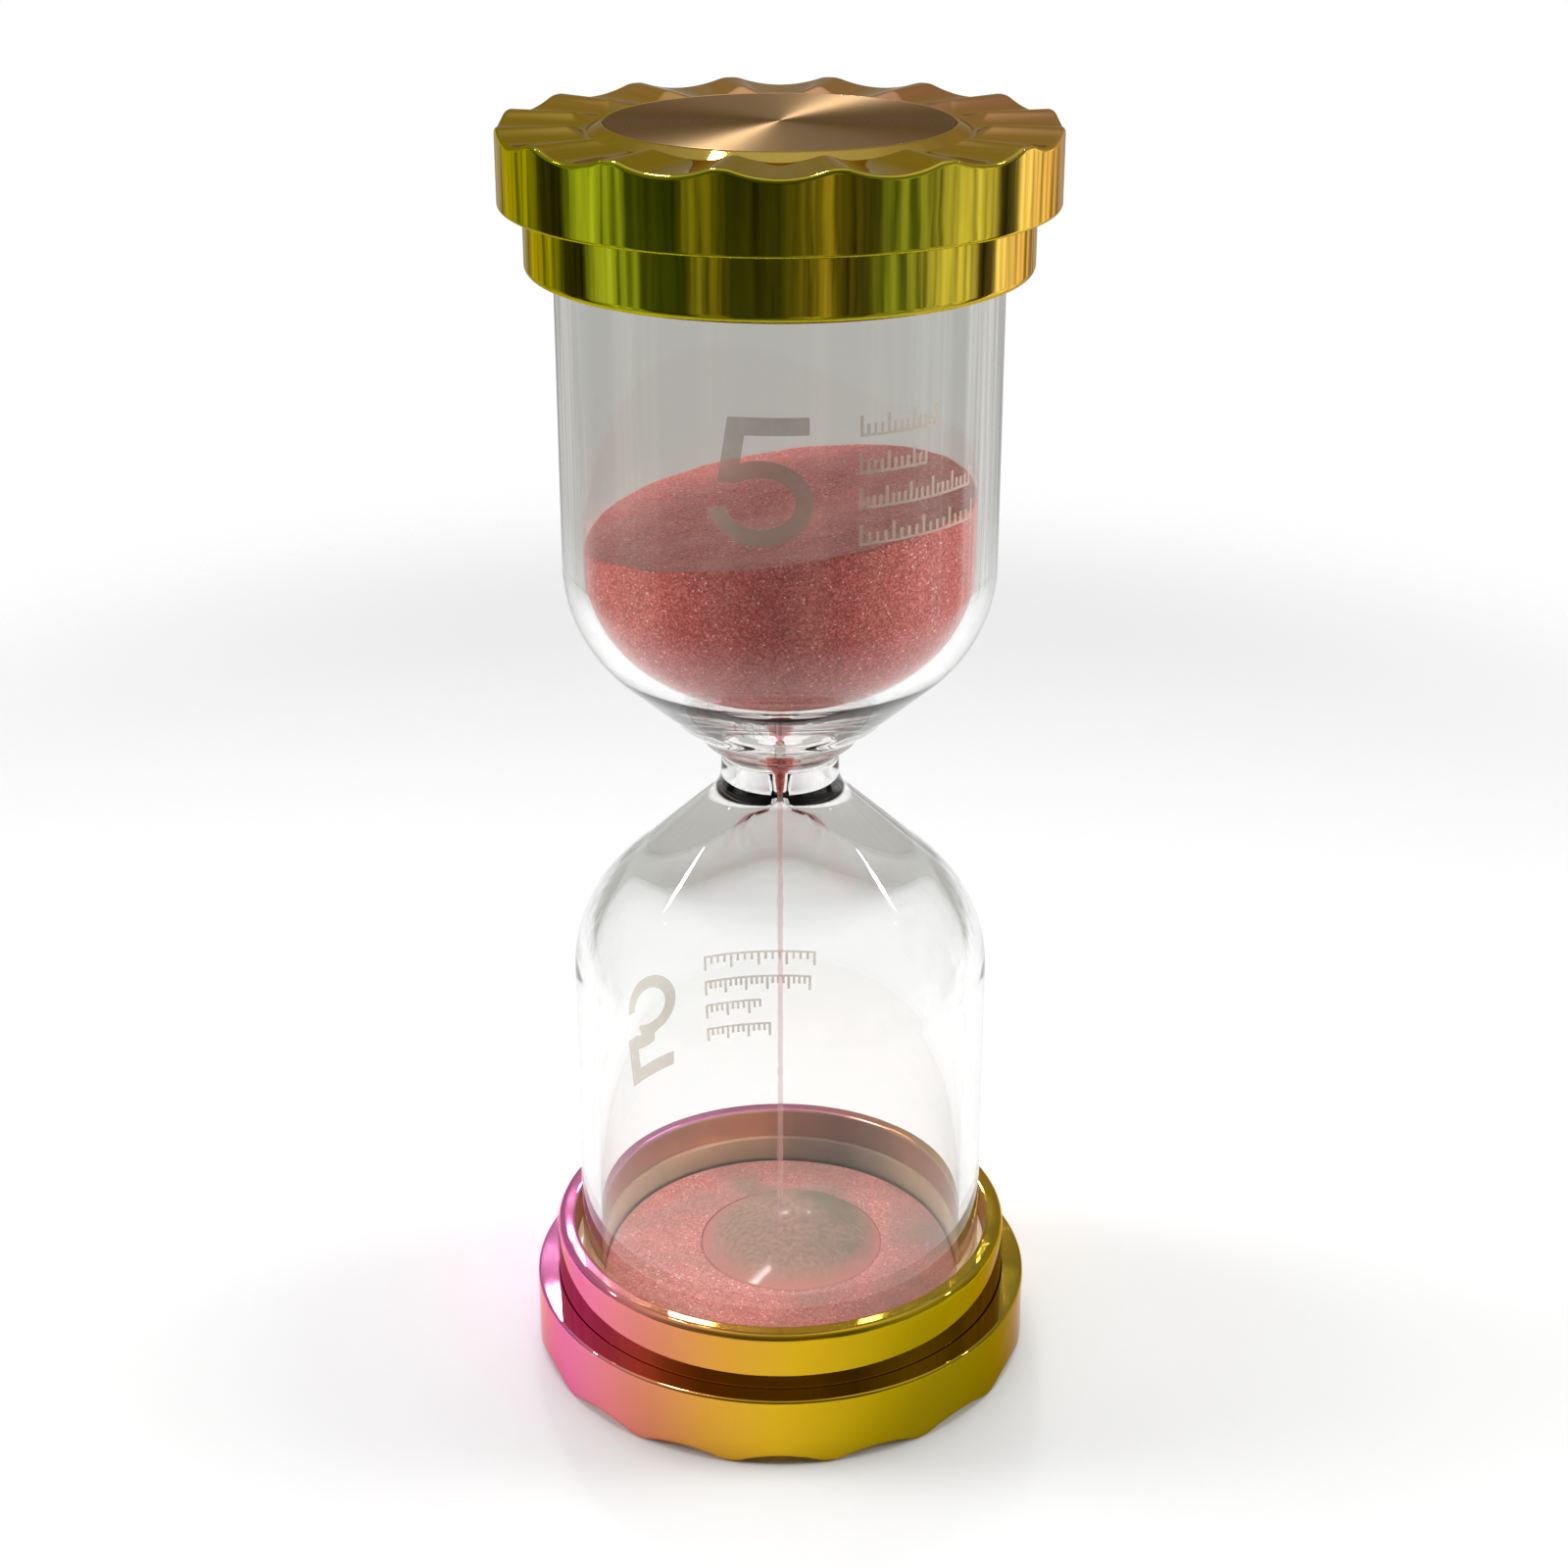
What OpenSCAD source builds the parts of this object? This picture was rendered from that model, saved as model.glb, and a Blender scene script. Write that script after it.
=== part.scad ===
// Five-minute sand timer: one blown glass body with two bulbs and a narrow neck,
// held at each end by a fluted plated cap with a collar. It stands on either cap.
// Origin: centre of the bottom cap's resting plane, +Z up through the glass.

/* [Overall] */
// Height between the two resting planes
total_h = 99.1; // [92:0.1:108]

/* [Caps] */
// Radius of a cap's fluted flange
cap_r = 20; // [19.6:0.1:21]
// Distance from the resting plane to the flange's glass-side face
flange_h = 5.75; // [5:0.05:7]
// Distance from the resting plane to the collar's rim
collar_h = 10.45; // [9:0.05:12]
// Outer radius of the collar
collar_r = 18.25; // [18:0.05:18.4]
// Bore radius of the collar
collar_bore_r = 16.77; // [16.6:0.01:17]
// Thickness of a cap's end plate
plate_t = 2.4; // [2:0.1:3]
// Number of scoops cut round the face of a cap
scoops = 16; // [12:1:16]
// Depth of a scoop below the resting plane
scoop_d = 0.62; // [0.4:0.02:0.7]
// Half angle of the cone that cuts a scoop
scoop_a = 35; // [30:1:37]
// Radius at which the scoop cones have their tips
scoop_tip_r = 6.6; // [6.4:0.1:8]
// Width of the bevel round the outer end of the lands
land_bevel = 0.2; // [0.1:0.05:0.4]

/* [Face discs] */
// Radius of the brushed disc set in a cap's face
disc_r = 12.4; // [11:0.1:12.4]
// Thickness of the disc
disc_t = 0.5; // [0.3:0.05:0.8]
// Distance of the disc's face behind the resting plane
disc_recess = 0.15; // [0.05:0.05:0.3]
// Radius of the bottom of the groove round the disc
groove_r = 13.7; // [13.5:0.1:14]
// Radius of the inner end of the lands
land_in_r = 15; // [14.6:0.1:15.4]
// Depth of the groove below the resting plane
groove_d = 0.75; // [0.66:0.01:0.9]

/* [Glass] */
// Outer radius of the two bulbs
glass_r = 16.2; // [15.9:0.05:16.4]
// Wall thickness of the bulbs
glass_t = 1.5; // [1.2:0.1:1.8]
// Outer radius of the neck
neck_r = 4.55; // [4:0.05:5.5]
// Radius of the hole that meters the sand
orifice_r = 0.45; // [0.35:0.05:0.6]
// Outer radius of the upper shoulder
shoulder_up_r = 11; // [10:0.1:11.5]
// Height of the upper shoulder's centre above mid-height
shoulder_up_z = 17.05; // [16.5:0.05:18]
// Slope of the upper cone's outer face, in degrees
cone_up_a = 41.5; // [40:0.5:43]
// Slope of the upper funnel's inner face, in degrees
funnel_up_a = 27; // [22:0.5:35]
// Outer radius of the lower shoulder
shoulder_low_r = 10.75; // [10:0.1:11.5]
// Depth of the lower shoulder's centre below mid-height
shoulder_low_z = 16.35; // [16:0.05:17]
// Slope of the lower cone's outer face, in degrees
cone_low_a = 42.4; // [41:0.5:44]
// Slope of the lower cone's inner face, in degrees
funnel_low_a = 37; // [34:0.5:40]
// Radius of the dome pushed into the bottom end
punt_r = 15; // [14:0.5:16]
// Height of the dome above the bulb's floor
punt_h = 3.4; // [2.5:0.1:4]
// Radius of the filling hole in the top end
fill_r = 5; // [4:0.1:5.5]

/* [Sand] */
// Thickness of the lower sand layer
sand_low_h = 1.4; // [0.6:0.1:3]
// Height of the upper sand's surface above mid-height
sand_up_z = 21.4; // [14:0.1:30]
// Tilt of the upper sand's surface about the Y axis, in degrees
sand_tilt = 8; // [0:0.5:12]
// Radius of the falling stream
stream_r = 0.25; // [0.2:0.05:0.3]

/* [Inner pieces] */
// Thickness of the cushion between a cap and the glass
cushion_t = 1; // [0.8:0.1:1.5]
// Height of a glue ring
glue_h = 2; // [1:0.1:2.4]

/* [Hidden] */
$fn = 96;

// Radial play between pieces that sit inside each other
play = 0.05;
// Air left between sand and glass
sand_gap = 0.1;
// Overcut that keeps two cut faces apart
eps = 0.1;
// Points along a rounded stretch of an outline
arc_n = 10;

mid_z = total_h / 2;
edge_bevel = 0.3;
collar_bevel = 0.5;
disc_seat_r = disc_r + play;

// Glass body, measured from mid-height
foot_z = plate_t + cushion_t - mid_z;
crown_z = -foot_z;
end_edge_r = 2.5;
neck_up_fillet = 0.95;
neck_low_fillet = 3.75;
channel_r = 1.1;
channel_fillet = 1.2;
orifice_z = -1.7;
orifice_len = 0.7;
mouth_fillet = 0.8;
bulb_r = glass_r - glass_t;

// Filling stopper
stopper_head_r = 6.6;
stopper_head_t = 0.9;
stopper_len = 5;

function arc(c, r, a0, a1, n = arc_n) =
    [for (i = [0 : n]) let (a = a0 + (a1 - a0) * i / n) [c[0] + r * cos(a), c[1] + r * sin(a)]];
function flip(pts) = [for (p = pts) [p[0], -p[1]]];
function reversed(pts) = [for (i = [len(pts) - 1 : -1 : 0]) pts[i]];

// Half outline from the neck out to the bulb: fillet, straight cone and round shoulder.
// neck = radius at the narrow end, body = radius of the bulb, rs and zs = shoulder, a = slope
function half_outline(neck, body, rs, zs, a, rf) =
    let (shoulder = [body - rs, zs],
         r1 = neck + rf * (1 - sin(a)),
         r2 = shoulder[0] + rs * sin(a),
         z0 = zs - rs * cos(a) - (r2 - r1) * tan(a) - rf * cos(a))
    concat(arc([neck + rf, z0], rf, 180, 90 + a), arc(shoulder, rs, a - 90, 0));

function outer_up() =
    half_outline(neck_r, glass_r, shoulder_up_r, shoulder_up_z, cone_up_a, neck_up_fillet);
function outer_low() =
    flip(half_outline(neck_r, glass_r, shoulder_low_r, shoulder_low_z, cone_low_a, neck_low_fillet));

// Inner outlines; gap draws them smaller, for the sand that lies against them
function inner_up(gap) =
    concat([[orifice_r - gap, orifice_z + gap]],
           half_outline(channel_r - gap, bulb_r - gap, shoulder_up_r - glass_t - gap,
                        shoulder_up_z, funnel_up_a, channel_fillet + gap));
function inner_low() =
    concat([[orifice_r, orifice_z - orifice_len]],
           flip(half_outline(orifice_r + eps, bulb_r, shoulder_low_r - glass_t,
                             shoulder_low_z, funnel_low_a, mouth_fillet)));

// Centre height of the dome's sphere and the angle at which it meets the floor
function punt_z(gap) = foot_z + glass_t + punt_h - punt_r - gap;
function punt_a(r, floor_z, centre_z) = asin((floor_z - centre_z) / r);

module at_top() {
    translate([0, 0, total_h])
        mirror([0, 0, 1])
            children();
}

module ring(r_out, r_in, h) {
    difference() {
        cylinder(r = r_out, h = h);
        translate([0, 0, -1])
            cylinder(r = r_in, h = h + 2);
    }
}

// One scoop: a cone lying on its side with its lowest line level, cut off just past the face
module scoop(i) {
    cone_l = 22;
    rotate([0, 0, i * 360 / scoops])
        intersection() {
            translate([0, -scoop_tip_r, scoop_d])
                rotate([90 + scoop_a, 0, 0])
                    cylinder(r1 = 0, r2 = cone_l * tan(scoop_a), h = cone_l);
            translate([-cap_r, -cap_r - 1, -eps])
                cube([2 * cap_r, cap_r + 1, 2]);
        }
}

// Round pedestal that carries the disc, kept clear of the scoops
module pedestal() {
    rotate_extrude()
        polygon([[0, -1], [disc_seat_r + eps, -1], [disc_seat_r + eps, disc_recess],
                 [groove_r, groove_d], [groove_r, plate_t], [0, plate_t]]);
}

module cap() {
    difference() {
        rotate_extrude()
            polygon([[0, disc_recess + disc_t], [disc_seat_r, disc_recess + disc_t],
                     [disc_seat_r, disc_recess], [disc_seat_r + eps, disc_recess],
                     [groove_r, groove_d], [land_in_r, 0], [cap_r - land_bevel, 0],
                     [cap_r, land_bevel], [cap_r, flange_h - edge_bevel],
                     [cap_r - edge_bevel, flange_h], [collar_r + play, flange_h],
                     [collar_r + play, plate_t], [0, plate_t]]);
        for (i = [0 : scoops - 1])
            difference() {
                scoop(i);
                pedestal();
            }
    }
}

module collar() {
    rotate_extrude()
        polygon([[collar_bore_r, plate_t], [collar_r, plate_t], [collar_r, collar_h - collar_bevel],
                 [collar_r - collar_bevel, collar_h], [collar_bore_r, collar_h]]);
}

module face_disc() {
    translate([0, 0, disc_recess])
        cylinder(r = disc_r, h = disc_t);
}

module glue_ring() {
    translate([0, 0, plate_t + cushion_t + end_edge_r])
        ring(collar_bore_r - play, glass_r + play, glue_h);
}

module bottom_cap() {
    color("orchid") cap();
}

module top_cap() {
    color("olive") at_top() cap();
}

module bottom_collar() {
    color("goldenrod") collar();
}

module top_collar() {
    color("olivedrab") at_top() collar();
}

module bottom_face_disc() {
    color("tan") face_disc();
}

module top_face_disc() {
    color("tan") at_top() face_disc();
}

module bottom_cushion() {
    color("dimgray")
        translate([0, 0, plate_t])
            cylinder(r = collar_bore_r - 0.5, h = cushion_t);
}

// The top cushion is a ring, because the stopper's head stands in its middle
module top_cushion() {
    color("dimgray")
        at_top()
            translate([0, 0, plate_t])
                ring(collar_bore_r - 0.5, stopper_head_r + 0.5, cushion_t);
}

module bottom_glue_ring() {
    color("whitesmoke") glue_ring();
}

module top_glue_ring() {
    color("whitesmoke") at_top() glue_ring();
}

// Glass body: both bulbs, the neck, the domed bottom end and the filling hole in the top end
module glass_body() {
    edge_in_r = end_edge_r - glass_t;
    floor_z = foot_z + glass_t;
    in_a = punt_a(punt_r, floor_z, punt_z(0));
    out_r = punt_r - glass_t;
    out_a = punt_a(out_r, foot_z, punt_z(0));
    outside = concat(
        arc([0, punt_z(0)], out_r, 90, out_a),
        arc([glass_r - end_edge_r, foot_z + end_edge_r], end_edge_r, -90, 0, 6),
        reversed(outer_low()), outer_up(),
        arc([glass_r - end_edge_r, crown_z - end_edge_r], end_edge_r, 0, 90, 6),
        [[fill_r, crown_z]]);
    inside = concat(
        arc([0, punt_z(0)], punt_r, 90, in_a),
        arc([bulb_r - edge_in_r, floor_z + edge_in_r], edge_in_r, -90, 0, 6),
        reversed(inner_low()), inner_up(0),
        arc([bulb_r - edge_in_r, crown_z - glass_t - edge_in_r], edge_in_r, 0, 90, 6),
        [[fill_r, crown_z - glass_t]]);
    color("aliceblue", 0.4)
        translate([0, 0, mid_z])
            rotate_extrude()
                polygon(concat(outside, reversed(inside)));
}

module fill_stopper() {
    color("white")
        translate([0, 0, mid_z + crown_z])
            rotate_extrude()
                polygon([[0, -stopper_len], [fill_r - 0.4, -stopper_len], [fill_r - play, -1],
                         [fill_r - play, 0], [stopper_head_r, 0],
                         [stopper_head_r, stopper_head_t], [0, stopper_head_t]]);
}

// Upper sand: fills the funnel up to a slightly tilted surface
module sand_upper() {
    top_r = bulb_r - sand_gap;
    cut = 4 * glass_r;
    color("salmon")
        translate([0, 0, mid_z])
            difference() {
                rotate_extrude()
                    polygon(concat([[0, orifice_z + sand_gap]], inner_up(sand_gap),
                                   [[top_r, sand_up_z + glass_r], [0, sand_up_z + glass_r]]));
                translate([0, 0, sand_up_z])
                    rotate([0, -sand_tilt, 0])
                        translate([-cut / 2, -cut / 2, 0])
                            cube(cut);
            }
}

module sand_stream() {
    low = foot_z + glass_t + punt_h + sand_gap;
    color("lightpink")
        translate([0, 0, mid_z + low])
            cylinder(r = stream_r, h = orifice_z - low);
}

// Lower sand: a level ring that leaves the top of the dome bare
module sand_lower() {
    out_r = bulb_r - sand_gap;
    low = foot_z + glass_t + sand_gap;
    high = low + sand_low_h;
    dome_r = punt_r + sand_gap;
    a_low = punt_a(dome_r, low, punt_z(0));
    a_high = punt_a(dome_r, high, punt_z(0));
    edge_r = end_edge_r - glass_t - sand_gap;
    color("lightcoral")
        translate([0, 0, mid_z])
            rotate_extrude()
                polygon(concat(arc([0, punt_z(0)], dome_r, a_high, a_low, 4),
                               arc([out_r - edge_r, low + edge_r], edge_r, -90, 0, 6),
                               [[out_r, high]]));
}

bottom_cap();
bottom_collar();
bottom_face_disc();
bottom_cushion();
bottom_glue_ring();
top_cap();
top_collar();
top_face_disc();
top_cushion();
top_glue_ring();
glass_body();
fill_stopper();
sand_upper();
sand_stream();
sand_lower();
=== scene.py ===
"""Five-minute sand timer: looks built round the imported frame. Metres, +Z up, -Y faces the camera."""
import math

import bmesh
import bpy
from mathutils import Matrix, Vector, noise

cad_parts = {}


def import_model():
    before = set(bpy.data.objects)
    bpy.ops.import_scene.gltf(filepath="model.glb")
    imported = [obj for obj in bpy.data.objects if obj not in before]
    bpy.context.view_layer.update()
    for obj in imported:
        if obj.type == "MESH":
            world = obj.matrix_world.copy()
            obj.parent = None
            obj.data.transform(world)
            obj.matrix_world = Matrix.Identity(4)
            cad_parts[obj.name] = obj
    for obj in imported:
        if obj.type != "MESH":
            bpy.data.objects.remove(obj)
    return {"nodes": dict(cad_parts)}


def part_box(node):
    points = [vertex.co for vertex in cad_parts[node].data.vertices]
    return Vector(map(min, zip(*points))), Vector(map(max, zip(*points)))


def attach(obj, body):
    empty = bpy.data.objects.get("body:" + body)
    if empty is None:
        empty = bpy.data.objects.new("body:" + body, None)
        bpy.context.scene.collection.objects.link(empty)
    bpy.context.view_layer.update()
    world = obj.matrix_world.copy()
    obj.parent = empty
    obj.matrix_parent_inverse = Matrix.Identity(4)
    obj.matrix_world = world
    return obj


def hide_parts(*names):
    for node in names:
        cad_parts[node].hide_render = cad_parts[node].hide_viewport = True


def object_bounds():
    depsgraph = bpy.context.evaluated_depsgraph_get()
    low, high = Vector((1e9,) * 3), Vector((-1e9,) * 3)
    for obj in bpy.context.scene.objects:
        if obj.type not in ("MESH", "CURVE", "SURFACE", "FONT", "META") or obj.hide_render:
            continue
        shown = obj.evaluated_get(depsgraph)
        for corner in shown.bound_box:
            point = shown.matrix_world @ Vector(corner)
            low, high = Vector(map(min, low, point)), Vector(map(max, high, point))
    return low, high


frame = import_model()
cad_low, cad_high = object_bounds()

MM = 0.001
ROOT = "root"

# ---------------------------------------------------------------- sizes read from the frame

TOTAL_H = cad_high.z
MID_Z = TOTAL_H / 2
CAP_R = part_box("bottom_cap")[1].x
FLANGE_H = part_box("bottom_cap")[1].z
COLLAR_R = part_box("bottom_collar")[1].x
COLLAR_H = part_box("bottom_collar")[1].z
PLATE_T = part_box("bottom_collar")[0].z
DISC_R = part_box("bottom_face_disc")[1].x
DISC_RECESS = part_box("bottom_face_disc")[0].z
DISC_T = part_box("bottom_face_disc")[1].z - DISC_RECESS
GLASS_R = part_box("glass_body")[1].x
FOOT_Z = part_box("glass_body")[0].z
CROWN_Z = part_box("glass_body")[1].z
STREAM_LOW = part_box("sand_stream")[0].z
STREAM_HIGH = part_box("sand_stream")[1].z
STREAM_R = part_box("sand_stream")[1].x
SAND_LOW_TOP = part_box("sand_lower")[1].z
SAND_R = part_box("sand_lower")[1].x

# ---------------------------------------------------------------- sizes of the details

COLLAR_BORE_R = 16.77 * MM
COLLAR_MID_Z = 5 * MM
COLLAR_LIP_R = 0.55 * MM
PLAY = 0.05 * MM
RIM_R = 0.3 * MM
SHARP_R = 0.05 * MM

SCOOPS = 16
SCOOP_DEPTH = 0.62 * MM
SCOOP_ANGLE = math.radians(35)
SCOOP_TIP_R = 6.6 * MM
GROOVE_R = 13.7 * MM
GROOVE_DEPTH = 0.75 * MM
LAND_IN_R = 15 * MM

GLASS_T = 1.5 * MM
NECK_R = 4.55 * MM
ORIFICE_R = 0.45 * MM
ORIFICE_Z = -1.7 * MM
ORIFICE_LEN = 0.7 * MM
CHANNEL_R = 1.1 * MM
SHOULDER_UP = (11 * MM, 17.05 * MM)
SHOULDER_LOW = (10.75 * MM, 16.35 * MM)
CONE_UP = math.radians(41.5)
CONE_LOW = math.radians(42.4)
NECK_FILLET_UP, NECK_FILLET_LOW = 0.95 * MM, 2.6 * MM
FUNNEL_FILLET_UP, FUNNEL_FILLET_LOW = 1.2 * MM, 0.8 * MM
FUNNEL_UP = math.radians(27)
FUNNEL_LOW = math.radians(28)
END_EDGE_R = 2.5 * MM
DOME_R = 15 * MM
DOME_H = 3.4 * MM
DOME_SHIFT = (1.6 * MM, 3.6 * MM)
DOME_TOP_Z = FOOT_Z + GLASS_T + DOME_H
FILL_R = 5 * MM
RING_LOW, RING_HIGH = 0.2 * MM, 6.2 * MM
RING_PITCH, RING_DEPTH = 2.0 * MM, 0.16 * MM

SAND_GAP = 0.1 * MM
SAND_UP_Z = 21.4 * MM
SAND_TILT = math.radians(8)
SAND_HOLLOW, SAND_HOLLOW_R = 0.5 * MM, 5 * MM
GRAIN_SIZE, GRAIN_DEPTH = 0.28 * MM, 0.05 * MM

PRINT_T = 0.03 * MM
PRINT_BASE_Z = 72.9 * MM
NUMERAL_AT, SCALE_AT = -17.6, 19.6
LOWER_PRINT_TURN = math.radians(45)

# ---------------------------------------------------------------- outlines


def arc(cx, cz, r, a0, a1, n):
    """n + 1 points on an arc, angles in degrees."""
    angles = [math.radians(a0 + (a1 - a0) * i / n) for i in range(n + 1)]
    return [(cx + r * math.cos(a), cz + r * math.sin(a)) for a in angles]


def share_of(value):
    """The value held between 0 and 1."""
    return max(0.0, min(1.0, value))


def flipped(points):
    """An outline turned upside down."""
    return [(r, -z) for r, z in points]


def rounded(corners, steps=6, guard=0.04 * MM):
    """Outline from (r, z, radius) corners: each corner becomes an arc, with a point close to both
    of its ends so that the flats between corners stay flat when they are shaded smooth."""
    out = []
    last = len(corners) - 1
    for i, (r, z, rad) in enumerate(corners):
        here = Vector((r, z))
        if i in (0, last) or rad == 0:
            out.append((r, z))
            continue
        back = (Vector(corners[i - 1][:2]) - here).normalized()
        ahead = (Vector(corners[i + 1][:2]) - here).normalized()
        half = back.angle(ahead) / 2
        reach = rad / math.tan(half)
        start, end = here + back * reach, here + ahead * reach
        centre = here + (back + ahead).normalized() * (rad / math.sin(half))
        out.append(tuple(start + back * guard))
        a0 = math.atan2(*(start - centre).yx)
        turn = math.atan2(*(end - centre).yx) - a0
        turn -= 2 * math.pi * round(turn / (2 * math.pi))
        for k in range(steps + 1):
            a = a0 + turn * k / steps
            out.append((centre.x + rad * math.cos(a), centre.y + rad * math.sin(a)))
        out.append(tuple(end + ahead * guard))
    return out


def half_outline(neck, body, shoulder_r, shoulder_z, slope, fillet, n=14, cone_steps=8):
    """From the neck out to the bulb: fillet, straight cone and round shoulder."""
    centre_r = body - shoulder_r
    r1 = neck + fillet * (1 - math.sin(slope))
    r2 = centre_r + shoulder_r * math.sin(slope)
    z0 = shoulder_z - shoulder_r * math.cos(slope)
    z0 = z0 - (r2 - r1) * math.tan(slope) - fillet * math.cos(slope)
    deg = math.degrees(slope)
    low = arc(neck + fillet, z0, fillet, 180, 90 + deg, n)
    high = arc(centre_r, shoulder_z, shoulder_r, deg - 90, 0, 2 * n)
    start, end = Vector(low[-1]), Vector(high[0])
    cone = [tuple(start.lerp(end, k / cone_steps)) for k in range(1, cone_steps)]
    return low + cone + high


def glass_outer_up():
    """Outer outline above the neck, with the soft rings that turning in the flame leaves."""
    out = []
    for r, z in half_outline(NECK_R, GLASS_R, *SHOULDER_UP, CONE_UP, NECK_FILLET_UP, cone_steps=60):
        inside = share_of((z - RING_LOW) / RING_PITCH) * share_of((RING_HIGH - z) / RING_PITCH)
        wave = math.sin(2 * math.pi * (z - RING_LOW) / RING_PITCH)
        out.append((r + RING_DEPTH * inside * wave, z))
    return out


def glass_outer_low():
    return flipped(half_outline(NECK_R, GLASS_R, *SHOULDER_LOW, CONE_LOW, NECK_FILLET_LOW))


def glass_inner_up(gap=0.0):
    bulb = GLASS_R - GLASS_T - gap
    funnel = half_outline(CHANNEL_R - gap, bulb, SHOULDER_UP[0] - GLASS_T - gap, SHOULDER_UP[1],
                          FUNNEL_UP, FUNNEL_FILLET_UP + gap)
    return [(ORIFICE_R - gap, ORIFICE_Z + gap)] + funnel


def glass_inner_low():
    bulb = GLASS_R - GLASS_T
    funnel = half_outline(ORIFICE_R + 0.1 * MM, bulb, SHOULDER_LOW[0] - GLASS_T, SHOULDER_LOW[1],
                          FUNNEL_LOW, FUNNEL_FILLET_LOW)
    return [(ORIFICE_R, ORIFICE_Z - ORIFICE_LEN)] + flipped(funnel)


# ---------------------------------------------------------------- mesh helpers


def new_object(name, verts, faces, material):
    """A smooth-shaded object whose normals all point outwards."""
    mesh = bpy.data.meshes.new(name)
    mesh.from_pydata(verts, [], faces)
    mesh.validate()
    bm = bmesh.new()
    bm.from_mesh(mesh)
    bmesh.ops.recalc_face_normals(bm, faces=bm.faces)
    bm.to_mesh(mesh)
    bm.free()
    mesh.polygons.foreach_set("use_smooth", [True] * len(mesh.polygons))
    mesh.materials.append(material)
    obj = bpy.data.objects.new(name, mesh)
    bpy.context.scene.collection.objects.link(obj)
    return obj


def revolve(rings, segments, closed):
    """Vertices and faces from rings: a ring is one point on the axis or as many as there are segments."""
    verts, faces, starts = [], [], []
    for ring in rings:
        starts.append((len(verts), len(ring)))
        verts.extend(ring)
    pairs = list(zip(starts, starts[1:]))
    if closed:
        pairs.append((starts[-1], starts[0]))
    for (a, na), (b, nb) in pairs:
        for k in range(segments):
            n = (k + 1) % segments
            if na == 1:
                faces.append((a, b + k, b + n))
            elif nb == 1:
                faces.append((a + k, b, a + n))
            else:
                faces.append((a + k, b + k, b + n, a + n))
    return verts, faces


def circle_ring(r, z, segments):
    """One level ring of points round the axis, or a single point on it."""
    if r < 1e-7:
        return [(0.0, 0.0, z)]
    step = 2 * math.pi / segments
    return [(r * math.sin(k * step), -r * math.cos(k * step), z) for k in range(segments)]


def lathe(name, outline, material, segments=192, closed=True, warp=None):
    """An outline of (r, z) points turned round the axis; warp may then move each point."""
    rings = [circle_ring(r, z, segments) for r, z in outline]
    if warp:
        rings = [[warp(*p) for p in ring] for ring in rings]
    verts, faces = revolve(rings, segments, closed)
    return new_object(name, verts, faces, material)


def settle(piece, slot, *nodes):
    """Common last step for a piece: it rides on the root body and may stand for CAD nodes."""
    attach(piece, ROOT)
    if nodes:
        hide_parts(*nodes)
    return piece


def end_z(top, z):
    """Height of a point z above a cap's resting plane, for the bottom or the top cap."""
    return TOTAL_H - z if top else z


# ---------------------------------------------------------------- shader helpers


def linear(r, g, b):
    """Linear colour from 0 to 255 display values."""
    def one(v):
        v /= 255
        return v / 12.92 if v <= 0.04045 else ((v + 0.055) / 1.055) ** 2.4
    return (one(r), one(g), one(b), 1.0)


class Nodes:
    """Short names for adding nodes to one tree."""

    def __init__(self, tree):
        self.tree = tree
        tree.nodes.clear()

    def add(self, kind, **values):
        node = self.tree.nodes.new(kind)
        for key, value in values.items():
            setattr(node, key, value)
        return node

    def link(self, source, target):
        self.tree.links.new(source, target)

    def math(self, operation, a, b=None, c=None):
        node = self.add("ShaderNodeMath", operation=operation)
        for i, v in enumerate(x for x in (a, b, c) if x is not None):
            if isinstance(v, (int, float)):
                node.inputs[i].default_value = v
            else:
                self.link(v, node.inputs[i])
        return node.outputs[0]

    def radius(self, axes):
        """Distance from the Z axis, from the outputs of a Separate XYZ node."""
        x, y = axes.outputs[0], axes.outputs[1]
        square = self.math("ADD", self.math("MULTIPLY", x, x), self.math("MULTIPLY", y, y))
        return self.math("SQRT", square)

    def dot(self, vector, direction):
        node = self.add("ShaderNodeVectorMath", operation="DOT_PRODUCT")
        self.link(vector, node.inputs[0])
        node.inputs[1].default_value = direction
        return node.outputs["Value"]

    def ramp(self, fac, stops, interpolation="LINEAR"):
        node = self.add("ShaderNodeValToRGB")
        node.color_ramp.interpolation = interpolation
        elements = node.color_ramp.elements
        while len(elements) < len(stops):
            elements.new(0.5)
        for element, (place, colour) in zip(elements, stops):
            element.position = place
            element.color = colour if len(colour) == 4 else (*colour, 1.0)
        self.link(fac, node.inputs[0])
        return node.outputs[0]

    def noise(self, vector, scale, detail=2.0):
        node = self.add("ShaderNodeTexNoise")
        node.inputs["Scale"].default_value = scale
        node.inputs["Detail"].default_value = detail
        node.inputs["Roughness"].default_value = 0.5
        self.link(vector, node.inputs["Vector"])
        return node.outputs[0]

    def mix(self, fac, a, b, blend="MIX"):
        node = self.add("ShaderNodeMix", data_type="RGBA", blend_type=blend)
        for socket, v in ((node.inputs[0], fac), (node.inputs[6], a), (node.inputs[7], b)):
            if isinstance(v, (int, float, tuple)):
                socket.default_value = v
            else:
                self.link(v, socket)
        return node.outputs[2]

    def bump(self, height, distance, strength=1.0, normal=None):
        node = self.add("ShaderNodeBump")
        node.inputs["Distance"].default_value = distance
        node.inputs["Strength"].default_value = strength
        self.link(height, node.inputs["Height"])
        if normal:
            self.link(normal, node.inputs["Normal"])
        return node.outputs[0]


def grey(level):
    return (level, level, level)


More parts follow.
